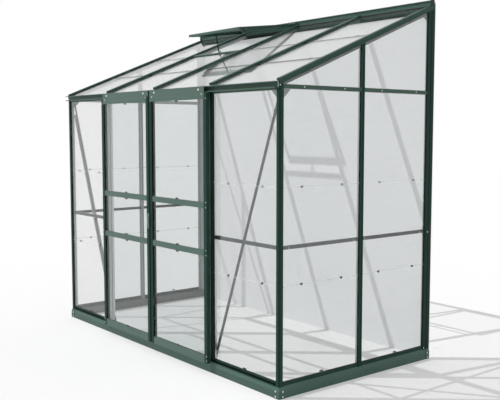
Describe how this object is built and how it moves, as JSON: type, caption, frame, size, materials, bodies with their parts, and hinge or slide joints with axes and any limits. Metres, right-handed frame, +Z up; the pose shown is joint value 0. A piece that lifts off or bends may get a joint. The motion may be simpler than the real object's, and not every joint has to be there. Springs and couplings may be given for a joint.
{
  "type": "lean-to greenhouse",
  "caption": "Glazed lean-to greenhouse with a pitched roof, sliding double doors on rollers in the long front and an opening roof vent held on a stay; open to the wall at the back.",
  "frame": {"origin": "on the ground, in the middle of the whole outline, which runs in depth from the front of the door handle to the house wall", "axes": "+X along the long front, to the right as seen from the front; +Y from the low front to the house wall; +Z up"},
  "size_m": [2.4488, 1.311, 2.226],
  "materials": {
    "frame_paint": "satin",
    "base_paint": "satin",
    "mill_aluminium": "satin",
    "glazing": "polished",
    "screw_steel": "satin",
    "nylon": "satin",
    "handle_plastic": "satin",
    "black_rubber": "matte",
    "black_plastic": "matte"
  },
  "bodies": {
    "frame": {"base_front_rail": "base_paint", "base_gable_rails": "base_paint", "base_corner_connectors": "base_paint", "base_wall_brackets": "base_paint", "base_screws": "screw_steel", "front_sill": "frame_paint", "gable_sills": "frame_paint", "corner_posts": "frame_paint", "wall_posts": "frame_paint", "door_posts": "frame_paint", "gable_middle_post_left": "frame_paint", "gable_middle_post_right": "frame_paint", "gable_rafter_left": "frame_paint", "gable_rafter_right": "frame_paint", "eave_track_beam": "frame_paint", "gable_eave_bars": "frame_paint", "gable_middle_bars": "mill_aluminium", "front_middle_bars": "mill_aluminium", "front_braces": "mill_aluminium", "gusset_plates": "mill_aluminium", "ridge_bar": "frame_paint", "ridge_end_caps": "black_plastic", "roof_glazing_bars": "frame_paint", "vent_cross_rail": "frame_paint", "stay_peg_bracket": "mill_aluminium", "seam_clips": "mill_aluminium", "front_panes_left": "glazing", "front_panes_right": "glazing", "gable_panes_left": "glazing", "gable_panes_right": "glazing", "roof_panes_bay_1": "glazing", "roof_panes_bay_2": "glazing", "roof_panes_bay_3": "glazing", "roof_panes_bay_4": "glazing"},
    "left_door": {"left_door_stiles": "frame_paint", "left_door_header": "frame_paint", "left_door_rails": "frame_paint", "left_door_panes": "glazing", "left_door_roller_axles": "screw_steel", "left_door_guide_shoes": "nylon", "left_door_cover_strip": "frame_paint", "left_door_handle": "handle_plastic"},
    "right_door": {"right_door_stiles": "frame_paint", "right_door_header": "frame_paint", "right_door_rails": "frame_paint", "right_door_panes": "glazing", "right_door_roller_axles": "screw_steel", "right_door_guide_shoes": "nylon", "right_door_seal": "black_rubber", "right_door_catch": "black_plastic"},
    "left_inner_roller": {"left_door_roller_inner": "nylon"},
    "left_outer_roller": {"left_door_roller_outer": "nylon"},
    "right_inner_roller": {"right_door_roller_inner": "nylon"},
    "right_outer_roller": {"right_door_roller_outer": "nylon"},
    "vent": {"vent_side_rails": "frame_paint", "vent_front_rail": "frame_paint", "vent_hinge_rail": "frame_paint", "vent_pane": "glazing", "vent_stay_bracket": "mill_aluminium"},
    "stay": {"vent_stay_bar": "mill_aluminium"}
  },
  "joints": [
    {"name": "left_door_slide", "type": "slide", "parent": "frame", "child": "left_door", "axis": [-1, 0, 0], "range_m": [0, 0.58]},
    {"name": "left_inner_roller_spin", "type": "hinge", "parent": "left_door", "child": "left_inner_roller", "pos_m": [-0.065, -0.6045, 1.664], "axis": [0, -1, 0], "range_deg": [0, 2440]},
    {"name": "left_outer_roller_spin", "type": "hinge", "parent": "left_door", "child": "left_outer_roller", "pos_m": [-0.546, -0.6045, 1.664], "axis": [0, -1, 0], "range_deg": [0, 2440]},
    {"name": "right_door_slide", "type": "slide", "parent": "frame", "child": "right_door", "axis": [1, 0, 0], "range_m": [0, 0.58]},
    {"name": "right_inner_roller_spin", "type": "hinge", "parent": "right_door", "child": "right_inner_roller", "pos_m": [0.065, -0.6045, 1.664], "axis": [0, 1, 0], "range_deg": [0, 2440]},
    {"name": "right_outer_roller_spin", "type": "hinge", "parent": "right_door", "child": "right_outer_roller", "pos_m": [0.546, -0.6045, 1.664], "axis": [0, 1, 0], "range_deg": [0, 2440]},
    {"name": "vent_hinge", "type": "hinge", "parent": "frame", "child": "vent", "pos_m": [-0.305, 0.6205, 2.20696], "axis": [-1, 0, 0], "range_deg": [-14.8, 23]},
    {"name": "stay_pivot", "type": "hinge", "parent": "vent", "child": "stay", "pos_m": [-0.305, 0.12162, 2.11806], "axis": [-1, 0, 0], "range_deg": [-23.5, 15.5]}
  ],
  "couplings": [
    {"joint": "left_inner_roller_spin", "follows": "left_door_slide", "rad_per_m": 72.993},
    {"joint": "left_outer_roller_spin", "follows": "left_door_slide", "rad_per_m": 72.993},
    {"joint": "right_inner_roller_spin", "follows": "right_door_slide", "rad_per_m": 72.993},
    {"joint": "right_outer_roller_spin", "follows": "right_door_slide", "rad_per_m": 72.993},
    {"joint": "stay_pivot", "follows": "vent_hinge", "ratio": -1}
  ]
}
